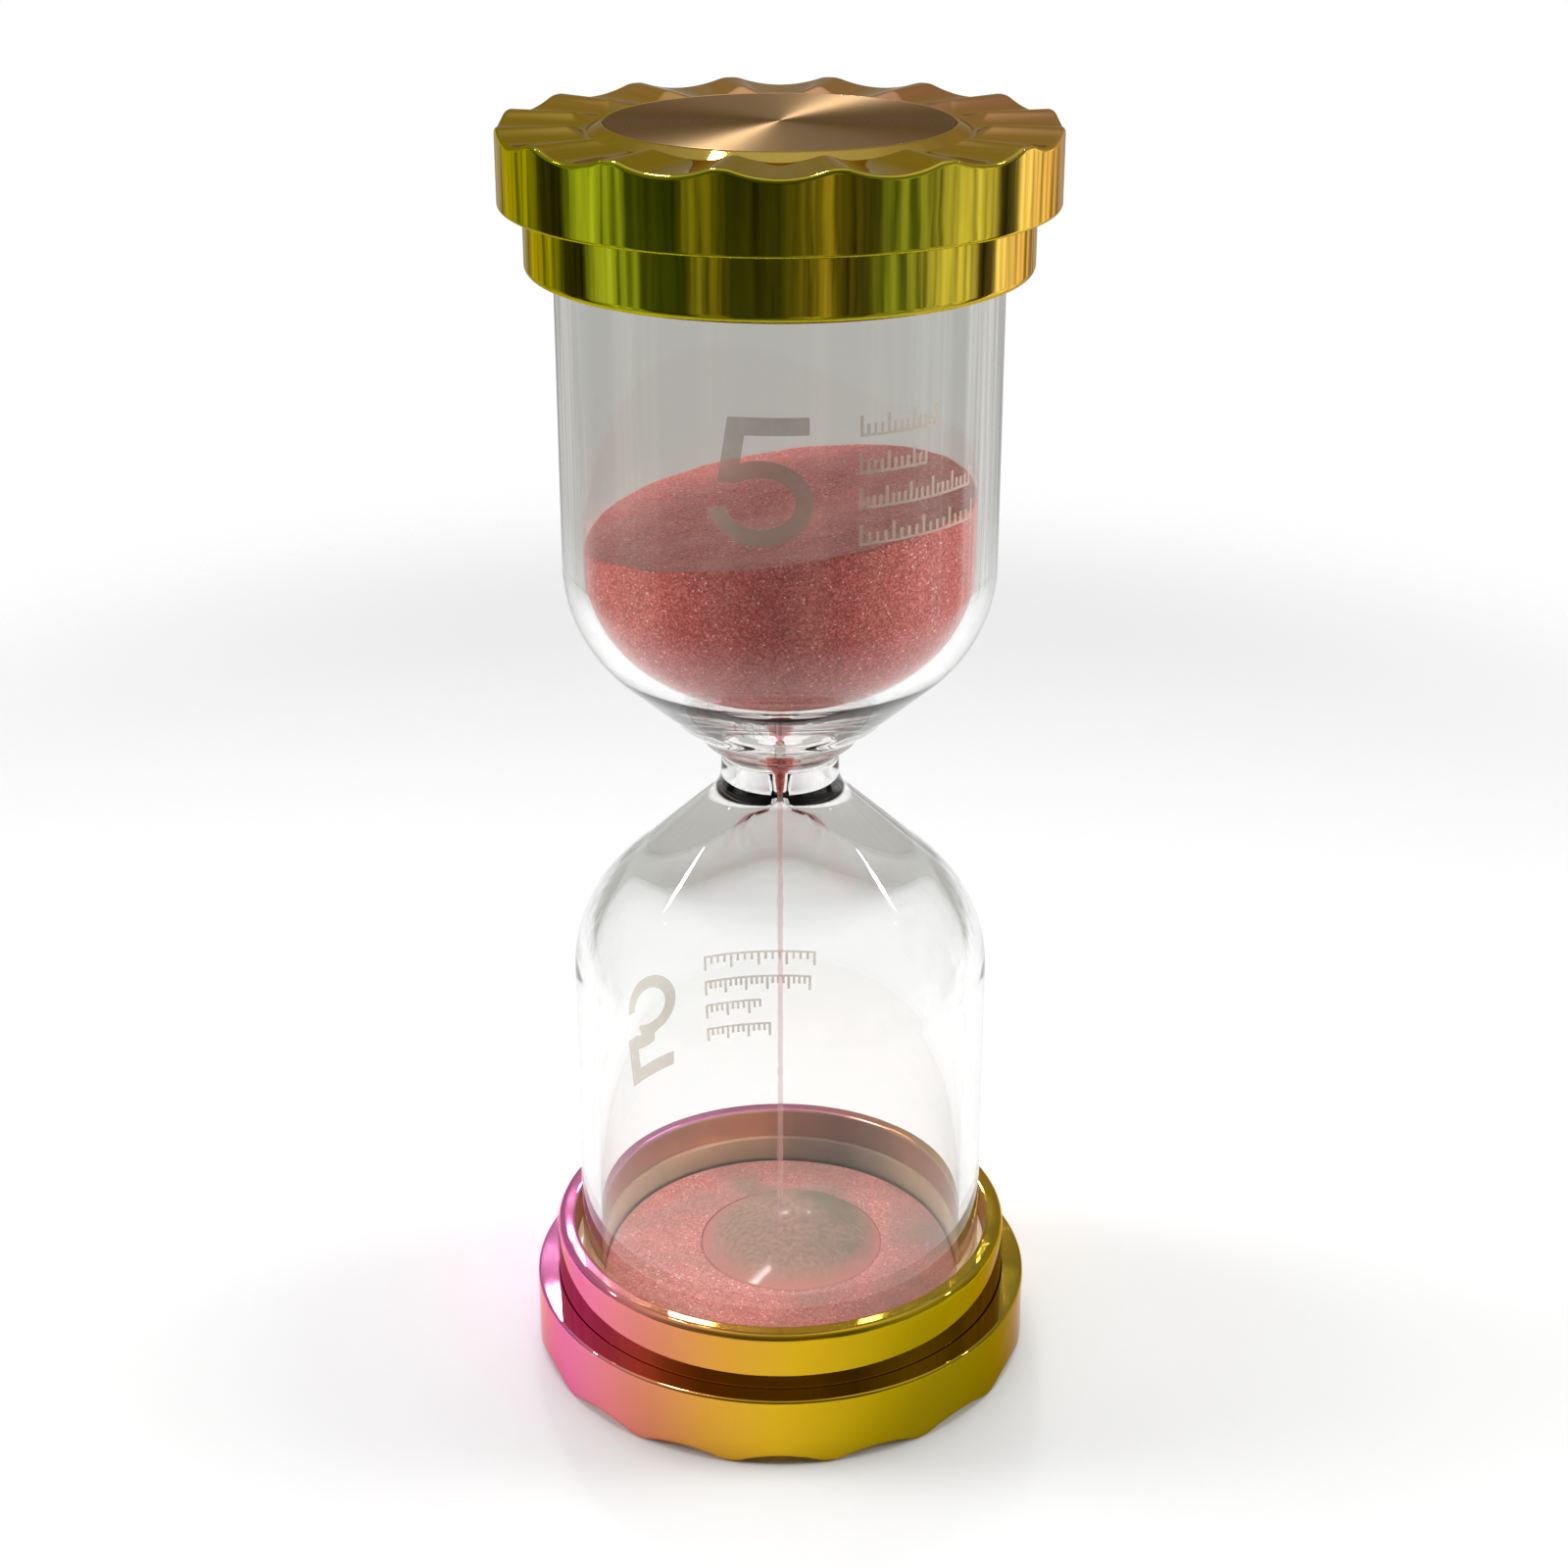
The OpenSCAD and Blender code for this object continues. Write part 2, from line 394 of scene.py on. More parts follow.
def new_material(name):
    """The material, its node helper, its Principled shader and the place on the object."""
    material = bpy.data.materials.new(name)
    material.use_nodes = True
    n = Nodes(material.node_tree)
    out = n.add("ShaderNodeOutputMaterial")
    surface = n.add("ShaderNodeBsdfPrincipled")
    n.link(surface.outputs[0], out.inputs["Surface"])
    place = n.add("ShaderNodeTexCoord").outputs["Object"]
    return material, n, surface, place


# ---------------------------------------------------------------- materials


def bore_brown_painted_reflection(n, place):
    """Brown of the bare metal and the glue inside the collar, lighter and darker from side to side: these
    bands are a painted reflection of the room.
    """
    across = n.math("MULTIPLY_ADD", n.dot(place, (1.0, 0.0, 0.0)), 0.5 / CAP_R, 0.5)
    across = n.math("ADD", across, n.math("MULTIPLY_ADD", n.noise(place, 250, 2), 0.06, -0.03))
    # Painted reflection: lighter at the left, dark just right of the middle, lighter again at the far right.
    stops = [(0.21, (0.60, 0.38, 0.23)), (0.32, (0.84, 0.49, 0.29)), (0.45, (0.76, 0.45, 0.25)),
             (0.55, (0.40, 0.25, 0.16)), (0.64, (0.26, 0.17, 0.12)), (0.72, (0.36, 0.25, 0.17)),
             (0.80, (0.56, 0.38, 0.22))]
    return n.ramp(across, stops)


def plating(name, direction, stops, glancing, level_tint_and_shade, level_tint_and_shade_share):
    """Mirror plating under a tinted lacquer that fades from one colour to the next across the cap.
    On the level faces it is mixed towards a browner, darker tint: thicker lacquer, and also painted shade
    that dims what they mirror. It thins out inside the collar's bore, where only dull brown metal shows,
    with painted reflection bands from side to side."""
    material, n, surface, place = new_material(name)
    across = n.math("DIVIDE", n.dot(place, direction), CAP_R)
    wander = n.math("MULTIPLY_ADD", n.noise(place, 60), 0.14, -0.07)
    across = n.math("MULTIPLY_ADD", n.math("ADD", across, wander), 0.5, 0.5)
    lacquer = n.ramp(across, stops)
    facing = n.add("ShaderNodeSeparateXYZ")
    n.link(n.add("ShaderNodeTexCoord").outputs["Normal"], facing.inputs[0])
    level = n.math("GREATER_THAN", n.math("ABSOLUTE", facing.outputs[2]), 0.8)
    # Level faces mixed towards a browner tint, which also serves as painted shade on what they mirror.
    lacquer = n.mix(n.math("MULTIPLY", level, level_tint_and_shade_share), lacquer, level_tint_and_shade)
    axes = n.add("ShaderNodeSeparateXYZ")
    n.link(place, axes.inputs[0])
    inward = n.math("LESS_THAN", n.radius(axes), COLLAR_BORE_R + 0.1 * MM)
    from_middle = n.math("ABSOLUTE", n.math("SUBTRACT", axes.outputs[2], MID_Z))
    bore = n.math("MULTIPLY", inward, n.math("LESS_THAN", from_middle, MID_Z - 2 * MM))
    # The bore's brown carries painted reflection bands from side to side.
    n.link(n.mix(bore, lacquer, bore_brown_painted_reflection(n, place)), surface.inputs["Base Color"])
    surface.inputs["Metallic"].default_value = 1.0
    haze = n.ramp(n.noise(place, 350, 4), [(0.35, grey(0.02)), (0.75, grey(0.07))])
    n.link(n.mix(bore, haze, (0.3, 0.3, 0.3, 1.0)), surface.inputs["Roughness"])
    surface.inputs["Specular Tint"].default_value = glancing
    n.link(n.bump(n.noise(place, 220, 1), 0.03 * MM, 0.6), surface.inputs["Normal"])
    return material


def plated_top():
    stops = [(0.02, linear(156, 156, 24)), (0.38, linear(184, 164, 48)), (0.60, linear(216, 166, 100)),
             (0.78, linear(226, 162, 132)), (0.97, linear(228, 144, 158))]
    # The level faces' browner tint is partly painted shade.
    glancing, level_tint_and_shade = linear(236, 214, 160), linear(172, 136, 84)
    return plating("plated_top", (0.52, 0.85, 0.0), stops, glancing, level_tint_and_shade, 0.6)


def plated_bottom():
    stops = [(0.0, linear(148, 130, 14)), (0.10, linear(178, 152, 6)), (0.24, linear(214, 172, 30)),
             (0.36, linear(222, 162, 62)), (0.48, linear(230, 146, 104)), (0.60, linear(244, 140, 148)),
             (0.72, linear(252, 130, 194)), (0.95, linear(255, 142, 222))]
    # The level faces' browner tint is partly painted shade.
    glancing, level_tint_and_shade = linear(240, 206, 180), linear(150, 116, 84)
    return plating("plated_bottom", (-0.85, 0.53, 0.0), stops, glancing, level_tint_and_shade, 0.3)


def brushed_disc():
    """Bronze-tinted disc turned on a lathe: fine rings that stretch highlights into a bow tie."""
    material, n, surface, place = new_material("brushed_disc")
    axes = n.add("ShaderNodeSeparateXYZ")
    n.link(place, axes.inputs[0])
    rings = n.add("ShaderNodeTexNoise", noise_dimensions="1D")
    rings.inputs["Scale"].default_value = 1.0
    rings.inputs["Detail"].default_value = 2.0
    n.link(n.math("MULTIPLY", n.radius(axes), 9000), rings.inputs["W"])
    tint = n.ramp(rings.outputs[0], [(0.3, linear(140, 114, 84)), (0.7, linear(168, 140, 106))])
    n.link(tint, surface.inputs["Base Color"])
    surface.inputs["Metallic"].default_value = 1.0
    surface.inputs["Roughness"].default_value = 0.42
    surface.inputs["Specular Tint"].default_value = linear(196, 172, 144)
    surface.inputs["Anisotropic"].default_value = 0.9
    surface.inputs["Anisotropic Rotation"].default_value = 0.25
    tangent = n.add("ShaderNodeTangent", direction_type="RADIAL", axis="Z")
    n.link(tangent.outputs[0], surface.inputs["Tangent"])
    n.link(n.bump(rings.outputs[0], 0.01 * MM, 0.5), surface.inputs["Normal"])
    return material


def clear_glass():
    """Blown glass. Rays from lamps pass straight through it, so that the sand is lit."""
    material, n, surface, place = new_material("clear_glass")
    surface.inputs["Base Color"].default_value = (0.955, 0.962, 0.955, 1.0)
    surface.inputs["Transmission Weight"].default_value = 1.0
    surface.inputs["IOR"].default_value = 1.48
    surface.inputs["Roughness"].default_value = 0.0
    wave = n.noise(place, 90, 1)
    n.link(n.bump(wave, 0.03 * MM, 0.5), surface.inputs["Normal"])
    through = n.add("ShaderNodeBsdfTransparent")
    through.inputs[0].default_value = (0.93, 0.94, 0.93, 1.0)
    lamp = n.add("ShaderNodeLightPath").outputs["Is Shadow Ray"]
    either = n.add("ShaderNodeMixShader")
    n.link(lamp, either.inputs[0])
    n.link(surface.outputs[0], either.inputs[1])
    n.link(through.outputs[0], either.inputs[2])
    out = next(x for x in n.tree.nodes if x.type == "OUTPUT_MATERIAL")
    n.link(either.outputs[0], out.inputs["Surface"])
    return material


def dyed_sand(name, dark, mid, light, alpha=1.0, thin=False):
    """Fine grains: each has its own shade and tilt, and a few are bright flakes. A thin layer lets the
    brown of what lies under it through in patches, most of all towards the back right, and it is
    darkened towards the front right as painted shade, with the light taken to come from the left."""
    material, n, surface, place = new_material(name)
    grain = n.add("ShaderNodeTexVoronoi")
    grain.inputs["Scale"].default_value = 8500
    n.link(place, grain.inputs["Vector"])
    pick = n.add("ShaderNodeSeparateColor")
    n.link(grain.outputs["Color"], pick.inputs[0])
    flake = linear(255, 214, 204)
    shade = n.ramp(pick.outputs[0], [(0.0, dark), (0.5, mid), (0.98, light), (0.99, flake)])
    patch = n.ramp(n.noise(place, 700, 3), [(0.3, (0.88, 0.86, 0.86)), (0.7, (1.06, 1.06, 1.08))])
    shade = n.mix(1.0, shade, patch, "MULTIPLY")
    if thin:
        bare = n.math("MULTIPLY", n.dot(place, (0.8, 0.6, 0.0)), 12)
        bare = n.math("ADD", n.noise(place, 170, 3), bare)
        bare = n.ramp(bare, [(0.42, grey(0.0)), (0.75, grey(0.85))])
        shade = n.mix(bare, shade, linear(140, 112, 96))
        # Painted shade: darker towards the front right, as if lit from the left.
        painted_shade = n.math("DIVIDE", n.dot(place, (0.6, -0.8, 0.0)), SAND_R)
        painted_shade = n.ramp(painted_shade, [(0.2, grey(0.92)), (0.85, (0.56, 0.47, 0.47))])
        shade = n.mix(1.0, shade, painted_shade, "MULTIPLY")
    n.link(shade, surface.inputs["Base Color"])
    shine = n.ramp(pick.outputs[1], [(0.0, grey(0.8)), (0.95, grey(0.65)), (0.965, grey(0.15))])
    n.link(shine, surface.inputs["Roughness"])
    surface.inputs["Specular IOR Level"].default_value = 0.2
    surface.inputs["Sheen Weight"].default_value = 0.0 if thin else 0.7
    surface.inputs["Sheen Roughness"].default_value = 0.4
    surface.inputs["Sheen Tint"].default_value = linear(255, 206, 200)
    tilt = n.bump(pick.outputs[2], 0.05 * MM, 0.35)
    n.link(n.bump(grain.outputs["Distance"], 0.05 * MM, 0.4, tilt), surface.inputs["Normal"])
    surface.inputs["Alpha"].default_value = alpha
    return material


def pink_sand():
    dark, mid, light = linear(166, 62, 54), linear(206, 92, 84), linear(234, 134, 126)
    return dyed_sand("pink_sand", dark, mid, light)


def thin_sand():
    dark, mid, light = linear(170, 92, 84), linear(204, 118, 108), linear(228, 146, 136)
    return dyed_sand("thin_sand", dark, mid, light, thin=True)


def falling_sand():
    dark, mid, light = linear(200, 140, 134), linear(226, 170, 164), linear(240, 196, 190)
    return dyed_sand("falling_sand", dark, mid, light, alpha=0.25)


def dust_film():
    """Sand dust lying on the glass dome: pink and thick at its foot, brown, thin and patchy on top.
    The clear coat gives it the shine of the glass."""
    material, n, surface, place = new_material("dust_film")
    fine = n.ramp(n.noise(place, 2500, 3), [(0.3, linear(136, 102, 84)), (0.7, linear(168, 128, 110))])
    worn = n.math("ADD", n.noise(place, 200, 2), n.math("MULTIPLY", n.dot(place, (1.0, 0.2, 0.0)), 40))
    worn = n.ramp(worn, [(0.45, grey(0.0)), (0.8, grey(0.85))])
    shade = n.mix(worn, fine, linear(106, 96, 78))
    axes = n.add("ShaderNodeSeparateXYZ")
    n.link(place, axes.inputs[0])
    drop = n.math("DIVIDE", n.math("SUBTRACT", DOME_TOP_Z, axes.outputs[2]), 2 * MM)
    foot = n.math("MULTIPLY_ADD", n.noise(place, 900, 3), 0.3, n.math("SUBTRACT", drop, 0.15))
    foot = n.ramp(foot, [(0.55, grey(0.0)), (0.9, grey(1.0))])
    shade = n.mix(foot, shade, linear(186, 116, 104))
    n.link(shade, surface.inputs["Base Color"])
    surface.inputs["Roughness"].default_value = 0.75
    surface.inputs["Specular IOR Level"].default_value = 0.2
    surface.inputs["Coat Weight"].default_value = 0.6
    surface.inputs["Coat Roughness"].default_value = 0.05
    patchy = n.math("MULTIPLY_ADD", n.noise(place, 260, 3), 0.3, 0.58)
    n.link(n.math("MINIMUM", n.math("MULTIPLY_ADD", drop, 0.5, patchy), 1.0), surface.inputs["Alpha"])
    n.link(n.bump(n.noise(place, 6000, 2), 0.02 * MM, 0.5), surface.inputs["Normal"])
    return material


def print_ink():
    """Pale grey screen print, slightly uneven, matt."""
    material, n, surface, place = new_material("print_ink")
    shade = n.ramp(n.noise(place, 900, 3), [(0.3, linear(212, 198, 180)), (0.7, linear(226, 212, 194))])
    n.link(shade, surface.inputs["Base Color"])
    surface.inputs["Roughness"].default_value = 0.6
    surface.inputs["Alpha"].default_value = 0.4
    n.link(n.bump(n.noise(place, 5000, 2), 0.005 * MM, 0.5), surface.inputs["Normal"])
    return material


def foam():
    """Brown closed-cell foam."""
    material, n, surface, place = new_material("foam")
    cells = n.add("ShaderNodeTexVoronoi")
    cells.inputs["Scale"].default_value = 3000
    n.link(place, cells.inputs["Vector"])
    shade = n.ramp(cells.outputs["Distance"], [(0.0, linear(112, 88, 72)), (0.7, linear(156, 128, 106))])
    n.link(shade, surface.inputs["Base Color"])
    surface.inputs["Roughness"].default_value = 0.85
    n.link(n.bump(cells.outputs["Distance"], 0.05 * MM, 0.5), surface.inputs["Normal"])
    return material


def cured_glue():
    """Slightly cloudy adhesive that has taken up the brown of the metal behind it, with the same painted
    reflection bands from side to side.
    """
    material, n, surface, place = new_material("cured_glue")
    n.link(bore_brown_painted_reflection(n, place), surface.inputs["Base Color"])
    surface.inputs["Roughness"].default_value = 0.35
    surface.inputs["Subsurface Weight"].default_value = 0.3
    surface.inputs["Subsurface Radius"].default_value = (0.001, 0.001, 0.001)
    n.link(n.bump(n.noise(place, 1500, 2), 0.05 * MM, 0.5), surface.inputs["Normal"])
    return material


def silicone():
    """Pale matt silicone."""
    material, n, surface, place = new_material("silicone")
    shade = n.ramp(n.noise(place, 600, 2), [(0.3, linear(214, 210, 202)), (0.7, linear(230, 227, 220))])
    n.link(shade, surface.inputs["Base Color"])
    surface.inputs["Roughness"].default_value = 0.5
    n.link(n.bump(n.noise(place, 4000, 2), 0.01 * MM, 0.5), surface.inputs["Normal"])
    return material


# ---------------------------------------------------------------- caps


def soft_min(a, b, width):
    """The smaller of two heights, rounded where they cross."""
    h = max(width - abs(a - b), 0.0) / width
    return min(a, b) - h * h * width / 4


def face_base(r):
    """Height of a cap's face before the scoops are cut, 0 at the lands and negative below them."""
    edge = DISC_R + PLAY + 0.1 * MM
    if r <= edge:
        return -DISC_RECESS
    if r <= GROOVE_R:
        t = (r - edge) / (GROOVE_R - edge)
        return -DISC_RECESS + (DISC_RECESS - GROOVE_DEPTH) * t
    if r <= LAND_IN_R:
        t = (r - GROOVE_R) / (LAND_IN_R - GROOVE_R)
        return -GROOVE_DEPTH * (1 - t)
    return 0.0


def scoop_height(r, angle):
    """Height of the nearest scoop's surface: a cone on its side whose lowest line is level."""
    pitch = 2 * math.pi / SCOOPS
    off = (angle + pitch / 2) % pitch - pitch / 2
    along, aside = r * math.cos(off) - SCOOP_TIP_R, r * math.sin(off)
    k = math.cos(2 * SCOOP_ANGLE)
    b = math.sin(2 * SCOOP_ANGLE) * along
    inside = max(b * b - 4 * k * (math.cos(SCOOP_ANGLE) * aside) ** 2, 0.0)
    return -SCOOP_DEPTH + (b - math.sqrt(inside)) / (2 * k)


def face_height(r, angle):
    """Height of the finished face: scooped outside the groove, plain inside it."""
    base = face_base(r)
    if r <= GROOVE_R:
        return base
    return soft_min(base, scoop_height(r, angle), 0.14 * MM)


def face_radii():
    """Ring radii across the face, closer together where the shape turns."""
    edge = DISC_R + PLAY + 0.1 * MM
    spans = [(edge - 0.1 * MM, edge, 3), (edge, GROOVE_R, 8), (GROOVE_R, LAND_IN_R + 0.3 * MM, 14),
             (LAND_IN_R + 0.3 * MM, CAP_R - 0.3 * MM, 16)]
    radii = [spans[0][0]]
    for a, b, n in spans:
        radii += [a + (b - a) * (k + 1) / n for k in range(n)]
    return radii


def cap_piece(top, material):
    """Fluted cap: scooped face, rounded rim, side wall, flat annulus and the seat for the collar."""
    name = ("top" if top else "bottom") + "_cap_plated"
    segments = SCOOPS * 36
    step = 2 * math.pi / segments
    wall_start, wall_span = 1.3 * MM, FLANGE_H - 1.7 * MM
    rings = []

    def ring(fn):
        points = []
        for k in range(segments):
            a = k * step
            r, down = fn(a)
            points.append((r * math.sin(a), -r * math.cos(a), end_z(top, down)))
        rings.append(points)

    seat_r = face_radii()[0]
    ring(lambda a: (seat_r, DISC_RECESS + DISC_T))
    for r in face_radii():
        ring(lambda a, r=r: (r, -face_height(r, a)))
    for k in range(1, 7):
        t = math.radians(90 * k / 6)
        r = CAP_R - RIM_R + RIM_R * math.sin(t)
        ring(lambda a, r=r, t=t: (r, -face_height(CAP_R - RIM_R, a) + RIM_R * (1 - math.cos(t))))
    ring(lambda a: (CAP_R, -face_height(CAP_R - RIM_R, a) + RIM_R + 0.05 * MM))
    for k in range(1, 6):
        ring(lambda a, k=k: (CAP_R, wall_start + wall_span * k / 6))
    seat = COLLAR_R + PLAY
    corners = [(CAP_R, FLANGE_H - 0.6 * MM, 0), (CAP_R, FLANGE_H, 0.25 * MM), (seat, FLANGE_H, SHARP_R),
               (seat, PLATE_T, 0)]
    for r, z in rounded(corners)[1:]:
        ring(lambda a, r=r, z=z: (r, z))
    rings.append([(0.0, 0.0, end_z(top, PLATE_T))])
    rings.insert(0, [(0.0, 0.0, end_z(top, DISC_RECESS + DISC_T))])
    verts, faces = revolve(rings, segments, closed=False)
    piece = new_object(name, verts, faces, material)
    return settle(piece, "plated_top" if top else "plated_bottom", name.replace("_plated", ""))


def collar_piece(top, material):
    """Plain ring round the end of the glass, with a soft outer lip."""
    name = ("top" if top else "bottom") + "_collar_plated"
    outline = rounded([(COLLAR_BORE_R, COLLAR_MID_Z, 0), (COLLAR_BORE_R, PLATE_T, SHARP_R),
                       (COLLAR_R, PLATE_T, SHARP_R), (COLLAR_R, COLLAR_H, COLLAR_LIP_R),
                       (COLLAR_BORE_R, COLLAR_H, RIM_R), (COLLAR_BORE_R, COLLAR_MID_Z, 0)], steps=8)[:-1]
    outline = [(r, end_z(top, z)) for r, z in outline]
    piece = lathe(name, outline, material, segments=256)
    return settle(piece, "plated_top" if top else "plated_bottom", name.replace("_plated", ""))


def disc_piece(top, material):
    """The inlaid disc, flat with a rounded edge."""
    name = ("top" if top else "bottom") + "_disc_turned"
    outline = rounded([(0.0, DISC_RECESS, 0), (DISC_R, DISC_RECESS, 0.12 * MM),
                       (DISC_R, DISC_RECESS + DISC_T, 0.03 * MM), (0.0, DISC_RECESS + DISC_T, 0)])
    outline[1:1] = [(DISC_R * k / 8, DISC_RECESS) for k in range(1, 8)]
    outline = [(r, end_z(top, z)) for r, z in outline]
    piece = lathe(name, outline, material, segments=256, closed=False)
    return settle(piece, "brushed_disc", ("top" if top else "bottom") + "_face_disc")


# ---------------------------------------------------------------- glass and sand


def dome_centre():
    """Height of the middle of the dome's sphere, from the middle of the timer."""
    return FOOT_Z - MID_Z + GLASS_T + DOME_H - DOME_R


def dome_shift(x, y, z):
    """The pushed-in dome stands a little off centre."""
    r = math.hypot(x, y)
    reach = 11.5 * MM
    if z > FOOT_Z + 9 * MM or r > reach:
        return (x, y, z)
    share = 1 - (r / reach) ** 2
    return (x + DOME_SHIFT[0] * share, y + DOME_SHIFT[1] * share, z)


def dome_arc(r, level, n):
    """The dome's outline from its top down to a level."""
    centre = dome_centre()
    start = math.degrees(math.asin((level - centre) / r))
    return arc(0, centre, r, 90, start, n)


def wall(r, z0, z1, n):
    """Points between the ends of a straight upright stretch."""
    return [(r, z0 + (z1 - z0) * k / n) for k in range(1, n)]


def glass_piece(material):
    """The whole blown glass as one closed skin: outside, rim of the filling hole, inside."""
    foot, crown = FOOT_Z - MID_Z, CROWN_Z - MID_Z
    bulb = GLASS_R - GLASS_T
    edge_in = END_EDGE_R - GLASS_T
    floor, ceiling = foot + GLASS_T, crown - GLASS_T
    outer_low, outer_up = glass_outer_low()[::-1], glass_outer_up()
    inner_low, inner_up = glass_inner_low()[::-1], glass_inner_up()
    outside = dome_arc(DOME_R - GLASS_T, foot, 16)
    outside += arc(GLASS_R - END_EDGE_R, foot + END_EDGE_R, END_EDGE_R, -90, 0, 10)
    outside += wall(GLASS_R, foot + END_EDGE_R, outer_low[0][1], 12) + outer_low + outer_up
    outside += wall(GLASS_R, outer_up[-1][1], crown - END_EDGE_R, 12)
    outside += arc(GLASS_R - END_EDGE_R, crown - END_EDGE_R, END_EDGE_R, 0, 90, 10)
    inside = dome_arc(DOME_R, floor, 16)
    inside += arc(bulb - edge_in, floor + edge_in, edge_in, -90, 0, 8)
    inside += wall(bulb, floor + edge_in, inner_low[0][1], 12) + inner_low + inner_up
    inside += wall(bulb, inner_up[-1][1], ceiling - edge_in, 12)
    inside += arc(bulb - edge_in, ceiling - edge_in, edge_in, 0, 90, 8)
    lip = [(FILL_R + 0.2 * MM, crown), (FILL_R, crown - 0.2 * MM), (FILL_R, ceiling + 0.2 * MM),
           (FILL_R + 0.2 * MM, ceiling)]
    outline = [(max(r, 0.0), z + MID_Z) for r, z in outside + lip + inside[::-1]]
    piece = lathe("glass_body_blown", outline, material, segments=256, closed=False, warp=dome_shift)
    return settle(piece, "glass", "glass_body")


def grainy(x, y, z, size, depth):
    """Small up and down of loose grains at a point."""
    return depth * noise.noise(Vector((x, y, z)) / size)


def sand_upper_piece(material):
    """Upper sand: lies in the funnel under a tilted surface with a shallow hollow over the neck."""
    segments = 360
    step = 2 * math.pi / segments
    bulb = GLASS_R - GLASS_T - SAND_GAP
    funnel = glass_inner_up(SAND_GAP)
    funnel = [p for p in funnel if p[1] < SAND_UP_Z - 3 * MM]
    tip = [(0.0, ORIFICE_Z + SAND_GAP), (0.2 * MM, ORIFICE_Z + 2 * SAND_GAP),
           (0.3 * MM, ORIFICE_Z + 0.6 * MM)]
    rings = [circle_ring(r, z + MID_Z, segments) for r, z in tip + funnel[1:]]

    def surface(x, y):
        slope = SAND_UP_Z + x * math.tan(SAND_TILT)
        hollow = -SAND_HOLLOW * math.exp(-((x * x + y * y) / SAND_HOLLOW_R ** 2))
        wide = grainy(x, y, 0, 3 * MM, 0.12 * MM)
        return MID_Z + slope + hollow + wide + grainy(x, y, 0, GRAIN_SIZE, GRAIN_DEPTH)

    steps = 18
    edge = 0.12 * MM
    for i in range(1, steps + 1):
        ring = []
        for k in range(segments):
            x, y = bulb * math.sin(k * step), -bulb * math.cos(k * step)
            z0, z1 = MID_Z + funnel[-1][1], surface(x, y) - edge
            ring.append((x, y, z0 + (z1 - z0) * i / steps))
        rings.append(ring)
    count = 60
    for i in range(count):
        r = (bulb - edge) * (1 - i / count)
        ring = []
        for k in range(segments):
            x, y = r * math.sin(k * step), -r * math.cos(k * step)
            ring.append((x, y, surface(x, y)))
        rings.append(ring)
    rings.append([(0.0, 0.0, surface(0, 0))])
    verts, faces = revolve(rings, segments, closed=False)
    piece = new_object("sand_upper_grains", verts, faces, material)
    return settle(piece, "sand", "sand_upper")


def sand_lower_piece(material):
    """Lower sand: a thin uneven ring round the dome."""
    segments = 360
    step = 2 * math.pi / segments
    foot = FOOT_Z - MID_Z
    low = foot + GLASS_T + SAND_GAP
    top = SAND_LOW_TOP - MID_Z
    dome_r = DOME_R + SAND_GAP
    edge = END_EDGE_R - GLASS_T - SAND_GAP
    centre = dome_centre()
    r_high = math.sqrt(dome_r ** 2 - (top - centre) ** 2)
    r_low = math.sqrt(dome_r ** 2 - (low - centre) ** 2)
    outline = [(r_high, top)]
    for i in range(1, 9):
        r = r_high + (r_low - r_high) * i / 8
        outline.append((r, centre + math.sqrt(dome_r ** 2 - r * r)))
    outline += arc(SAND_R - edge, low + edge, edge, -90, 0, 6)
    outline += [(SAND_R, top - 0.1 * MM)]
    rings = [circle_ring(r, z + MID_Z, segments) for r, z in outline]
    count = 40
    for i in range(count):
        r = SAND_R - 0.1 * MM + (r_high - SAND_R + 0.1 * MM) * i / count
        ring = []
        for k in range(segments):
            x, y = r * math.sin(k * step), -r * math.cos(k * step)
            inland = math.sin(math.pi * i / count)
            lift = inland * (grainy(x, y, 3, 4 * MM, 0.3 * MM) + 0.25 * MM - 0.35 * MM * y / SAND_R)
            fine = grainy(x, y, 1, GRAIN_SIZE, GRAIN_DEPTH) - GRAIN_DEPTH
            ring.append((x, y, MID_Z + top + lift + fine))
        rings.append(ring)
    rings = [[dome_shift(*p) for p in ring] for ring in rings]
    verts, faces = revolve(rings, segments, closed=True)
    piece = new_object("sand_lower_grains", verts, faces, material)
    return settle(piece, "sand", "sand_lower")


def dust_piece(material):
    """Thin film of dust over the dome, from its top down to the sand."""
    rings, shell = 24, 0.03 * MM
    centre = dome_centre() + MID_Z
    reach = math.acos((SAND_LOW_TOP - centre) / DOME_R) + math.radians(1.5)
    outer = [(DOME_R + 2 * shell) * Vector((math.sin(reach * k / rings), math.cos(reach * k / rings)))
             for k in range(rings + 1)]
    inner = [p * (DOME_R + shell) / (DOME_R + 2 * shell) for p in outer[::-1]]
    outline = [(max(p.x, 0.0), p.y + centre) for p in outer + inner]
    piece = lathe("dome_dust", outline, material, segments=192, closed=False, warp=dome_shift)
    return settle(piece, "sand")


def stream_piece(material):
    """Falling thread of sand, slightly lumpy."""
    segments, count = 16, 160
    rings = [[(0.0, 0.0, STREAM_LOW)]]
    for i in range(count + 1):
        z = STREAM_LOW + (STREAM_HIGH - STREAM_LOW) * i / count
        r = STREAM_R * (0.82 + 0.3 * noise.noise(Vector((0.0, 0.0, z / (0.7 * MM)))))
        rings.append(circle_ring(min(r, STREAM_R), z, segments))
    rings.append([(0.0, 0.0, STREAM_HIGH)])
    verts, faces = revolve(rings, segments, closed=False)
    piece = new_object("sand_stream_thread", verts, faces, material)
    return settle(piece, "sand", "sand_stream")


# ---------------------------------------------------------------- prints on the glass


